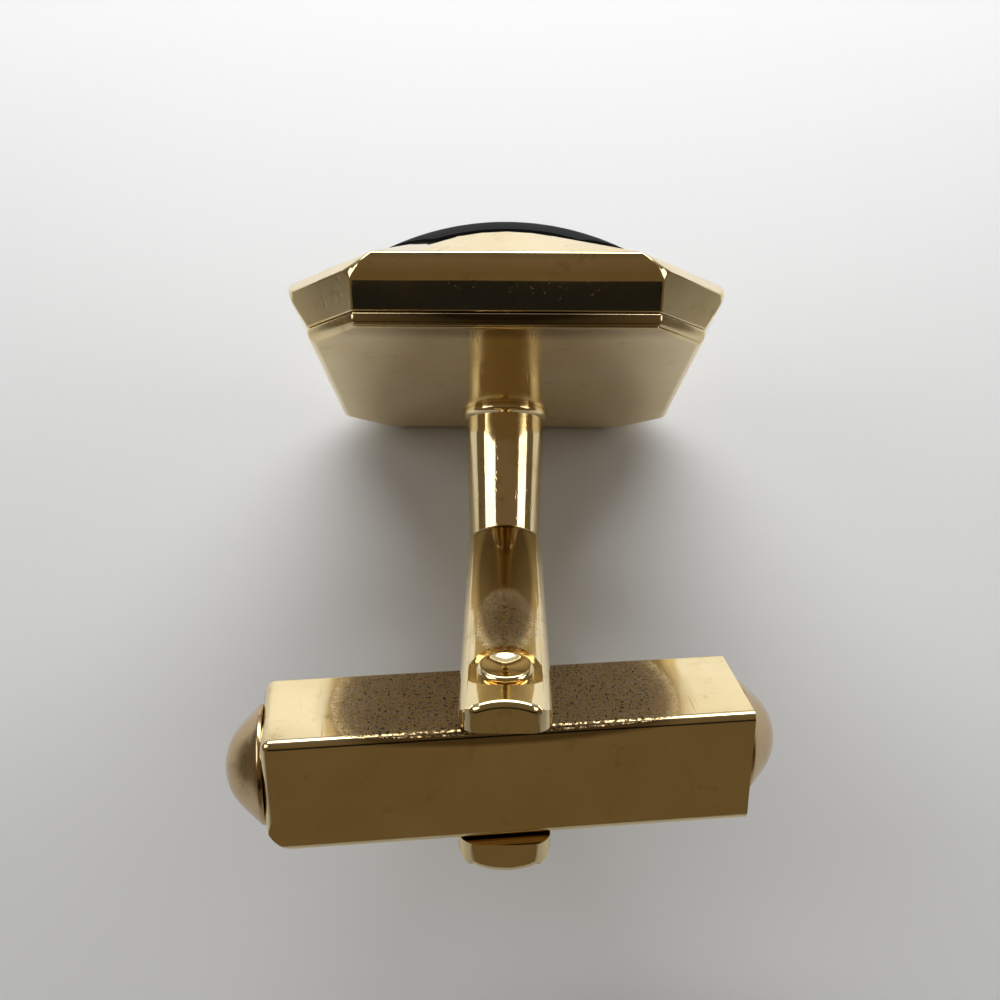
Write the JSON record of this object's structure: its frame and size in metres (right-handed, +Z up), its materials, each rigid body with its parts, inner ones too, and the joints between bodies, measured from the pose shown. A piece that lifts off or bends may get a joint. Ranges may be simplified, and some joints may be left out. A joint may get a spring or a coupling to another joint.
{
  "type": "cufflink",
  "caption": "Gold-tone cufflink with a square cut-corner head, a black domed stone, a cranked post and a swivelling square bar with domed ends.",
  "frame": {"origin": "on the surface that the cufflink rests on, under the middle of its bounding box", "axes": "+X to the right along the head's top edge, -Y from the head to the bar, +Z up"},
  "size_m": [0.0196, 0.0285, 0.0174],
  "materials": {
    "polished_gold": "polished gold plating, worn along the edges",
    "satin_gold": "satin gold plating with fine scratches",
    "black_stone": "polished black",
    "packing": "matt",
    "spring_steel": "bright rolled strip"
  },
  "bodies": {
    "head": {"front_shell": "polished_gold", "stone": "black_stone", "stone_bed": "packing", "back_plate": "satin_gold", "post_stem": "polished_gold", "fork": "polished_gold", "pivot_pin": "polished_gold"},
    "bar": {"bar_sleeve": "polished_gold", "left_end_cap": "polished_gold", "right_end_cap": "polished_gold", "detent_spring": "spring_steel"}
  },
  "joints": [
    {"name": "bar_swivel", "type": "hinge", "parent": "head", "child": "bar", "pos_m": [0, -0.01002, 0.01194], "axis": [0, 0.6792, 0.7339], "continuous": true}
  ]
}
